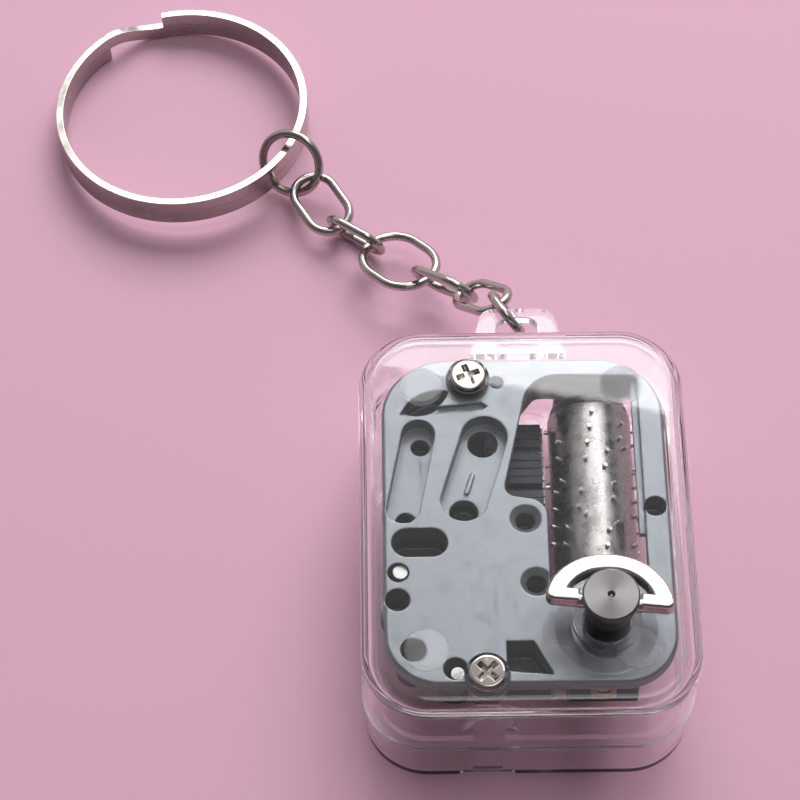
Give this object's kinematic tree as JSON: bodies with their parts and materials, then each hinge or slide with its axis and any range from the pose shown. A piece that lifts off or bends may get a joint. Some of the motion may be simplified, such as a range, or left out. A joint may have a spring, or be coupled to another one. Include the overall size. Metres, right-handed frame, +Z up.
{
  "type": "cylinder music box",
  "caption": "Hand-cranked cylinder music box in a clear two-part case, with a folding D-handle, pinned cylinder, steel comb, and a chain with a split key ring.",
  "frame": {"origin": "centre of the case's flat bottom face", "axes": "+Z up out of the cover towards the crank, +Y from the crank end towards the chain lug and key ring, +X to the right with the crank near the viewer"},
  "size_m": [0.0813, 0.1153, 0.0275],
  "materials": {
    "clear_plastic": "clear polished plastic",
    "cast_zinc": "matt die-cast with light tumbling marks",
    "cylinder_steel": "turned and plated",
    "pin_steel": "ground",
    "comb_steel": "ground tempered steel",
    "lead": "dull",
    "turned_steel": "fine turned",
    "bearing_brass": "turned",
    "gear_plastic": "moulded",
    "nickel": "polished plating"
  },
  "bodies": {
    "base": {"case_base": "clear_plastic"},
    "cover": {"case_cover": "clear_plastic", "bedplate": "cast_zinc", "dowel_pins": "turned_steel", "comb": "comb_steel", "comb_leads": "lead", "comb_screws": "turned_steel", "back_bush": "bearing_brass", "front_bush": "bearing_brass", "crank_bush": "bearing_brass", "case_screws": "nickel"},
    "cylinder": {"cylinder_barrel": "cylinder_steel", "cylinder_pins": "pin_steel", "cylinder_arbor": "turned_steel", "back_cap": "cast_zinc", "front_cap": "cast_zinc", "face_gear": "gear_plastic", "arbor_spacers": "gear_plastic"},
    "crank": {"crank_shaft": "turned_steel", "crank_pinion": "turned_steel", "crank_washer": "turned_steel"},
    "handle": {"crank_handle": "nickel"},
    "lug_link": {"lug_link": "nickel"},
    "chain_link_1": {"chain_link_1": "nickel"},
    "chain_link_2": {"chain_link_2": "nickel"},
    "chain_link_3": {"chain_link_3": "nickel"},
    "chain_link_4": {"chain_link_4": "nickel"},
    "chain_link_5": {"chain_link_5": "nickel"},
    "ring_link": {"ring_link": "nickel"},
    "key_ring": {"key_ring": "nickel"}
  },
  "joints": [
    {"name": "case_open", "type": "slide", "parent": "base", "child": "cover", "axis": [0, 0, 1], "range_m": [0, 0.02]},
    {"name": "cylinder_turn", "type": "hinge", "parent": "cover", "child": "cylinder", "pos_m": [0.00885, 0, 0.01], "axis": [0, 1, 0], "continuous": true},
    {"name": "crank_turn", "type": "hinge", "parent": "cover", "child": "crank", "pos_m": [0.00885, -0.0148, 0.02], "axis": [0, 0, 1], "continuous": true},
    {"name": "handle_fold", "type": "hinge", "parent": "crank", "child": "handle", "pos_m": [0.00885, -0.0148, 0.0252], "axis": [0.9945, -0.1045, 0], "range_deg": [-20, 214]},
    {"name": "lug_swing", "type": "hinge", "parent": "cover", "child": "lug_link", "pos_m": [0.0002, 0.03165, 0.0138], "axis": [1, 0, 0], "range_deg": [-25, 35]},
    {"name": "link_1_turn", "type": "hinge", "parent": "lug_link", "child": "chain_link_1", "pos_m": [-0.00231, 0.03526, 0.01232], "axis": [-0.4753, 0.0206, 0.8796], "range_deg": [-15, 12]},
    {"name": "link_2_swing", "type": "hinge", "parent": "chain_link_1", "child": "chain_link_2", "pos_m": [-0.00633, 0.03904, 0.00828], "axis": [0.7227, 0.691, -0.0144], "range_deg": [-25, 25]},
    {"name": "link_3_turn", "type": "hinge", "parent": "chain_link_2", "child": "chain_link_3", "pos_m": [-0.01191, 0.04385, 0.00488], "axis": [-0.5483, -0.0187, 0.8361], "range_deg": [-20, 12]},
    {"name": "link_4_swing", "type": "hinge", "parent": "chain_link_3", "child": "chain_link_4", "pos_m": [-0.01813, 0.05002, 0.00346], "axis": [0.7125, 0.6882, -0.1369], "range_deg": [-25, 25]},
    {"name": "link_5_turn", "type": "hinge", "parent": "chain_link_4", "child": "chain_link_5", "pos_m": [-0.02349, 0.05405, 0.0026], "axis": [-0.2796, -0.1534, 0.9478], "range_deg": [-20, 18]},
    {"name": "ring_link_swing", "type": "hinge", "parent": "chain_link_5", "child": "ring_link", "pos_m": [-0.02729, 0.06074, 0.00325], "axis": [0.8523, 0.5218, 0.0348], "range_deg": [-30, 30]},
    {"name": "key_ring_flip", "type": "hinge", "parent": "ring_link", "child": "key_ring", "pos_m": [-0.03017, 0.06244, 0.00447], "axis": [0.5654, 0.8246, -0.0197], "range_deg": [-40, 60]}
  ],
  "couplings": [
    {"joint": "cylinder_turn", "follows": "crank_turn", "ratio": -0.25}
  ]
}
